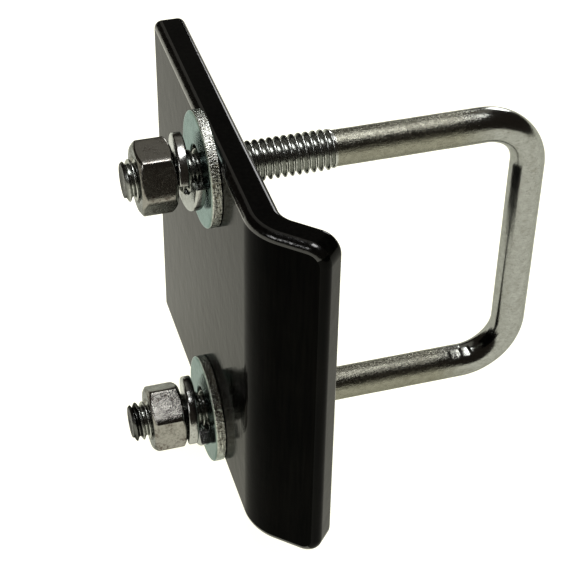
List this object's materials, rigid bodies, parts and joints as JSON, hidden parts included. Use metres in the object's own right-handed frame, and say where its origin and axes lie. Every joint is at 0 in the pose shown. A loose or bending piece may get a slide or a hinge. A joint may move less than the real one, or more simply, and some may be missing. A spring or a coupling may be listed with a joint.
{
  "type": "u-bolt clamp",
  "caption": "Square-bend U-bolt with threaded legs, a bent black pressure plate, flat washers, split lock washers and hexagon nuts.",
  "frame": {"origin": "centre of the pressure plate's clamp face, midway between the two legs", "axes": "+X along the legs towards the crown, +Z along the plate from the lower leg to the upper one, -Y towards the bent lip"},
  "size_m": [0.0861, 0.0835, 0.0824],
  "materials": {
    "zinc_bar": "bright zinc plate, lightly scuffed",
    "zinc_nut": "bright zinc plate over forged and turned faces",
    "zinc_washer": "bright zinc plate with rough sheared edges",
    "spring_steel": "zinc plated spring steel",
    "black_coat": "gloss black powder coat over steel"
  },
  "bodies": {
    "u_bolt": {"u_bolt": "zinc_bar"},
    "clamp_plate": {"clamp_plate": "black_coat"},
    "upper_flat_washer": {"upper_flat_washer": "zinc_washer"},
    "upper_lock_washer": {"upper_lock_washer": "spring_steel"},
    "upper_nut": {"upper_nut": "zinc_nut"},
    "lower_flat_washer": {"lower_flat_washer": "zinc_washer"},
    "lower_lock_washer": {"lower_lock_washer": "spring_steel"},
    "lower_nut": {"lower_nut": "zinc_nut"}
  },
  "joints": [
    {"name": "clamp_travel", "type": "slide", "parent": "u_bolt", "child": "clamp_plate", "axis": [1, 0, 0], "range_m": [0, 0.029]},
    {"name": "upper_nut_travel", "type": "slide", "parent": "clamp_plate", "child": "upper_flat_washer", "axis": [1, 0, 0], "range_m": [-0.006, 0]},
    {"name": "upper_lock_washer_spin", "type": "hinge", "parent": "upper_flat_washer", "child": "upper_lock_washer", "pos_m": [-0.01095, 0, 0.03015], "axis": [1, 0, 0], "range_deg": [0, 7400]},
    {"name": "upper_nut_spin", "type": "hinge", "parent": "upper_lock_washer", "child": "upper_nut", "pos_m": [-0.01673, 0, 0.03015], "axis": [1, 0, 0], "range_deg": [-1532, 0]},
    {"name": "lower_nut_travel", "type": "slide", "parent": "clamp_plate", "child": "lower_flat_washer", "axis": [1, 0, 0], "range_m": [-0.006, 0]},
    {"name": "lower_lock_washer_spin", "type": "hinge", "parent": "lower_flat_washer", "child": "lower_lock_washer", "pos_m": [-0.01095, 0, -0.03015], "axis": [1, 0, 0], "range_deg": [0, 7400]},
    {"name": "lower_nut_spin", "type": "hinge", "parent": "lower_lock_washer", "child": "lower_nut", "pos_m": [-0.01673, 0, -0.03015], "axis": [1, 0, 0], "range_deg": [-1532, 0]}
  ],
  "couplings": [
    {"joint": "upper_lock_washer_spin", "follows": "clamp_travel", "rad_per_m": 4452.7},
    {"joint": "upper_nut_spin", "follows": "upper_nut_travel", "rad_per_m": 4452.7},
    {"joint": "lower_lock_washer_spin", "follows": "clamp_travel", "rad_per_m": 4452.7},
    {"joint": "lower_nut_spin", "follows": "lower_nut_travel", "rad_per_m": 4452.7}
  ]
}
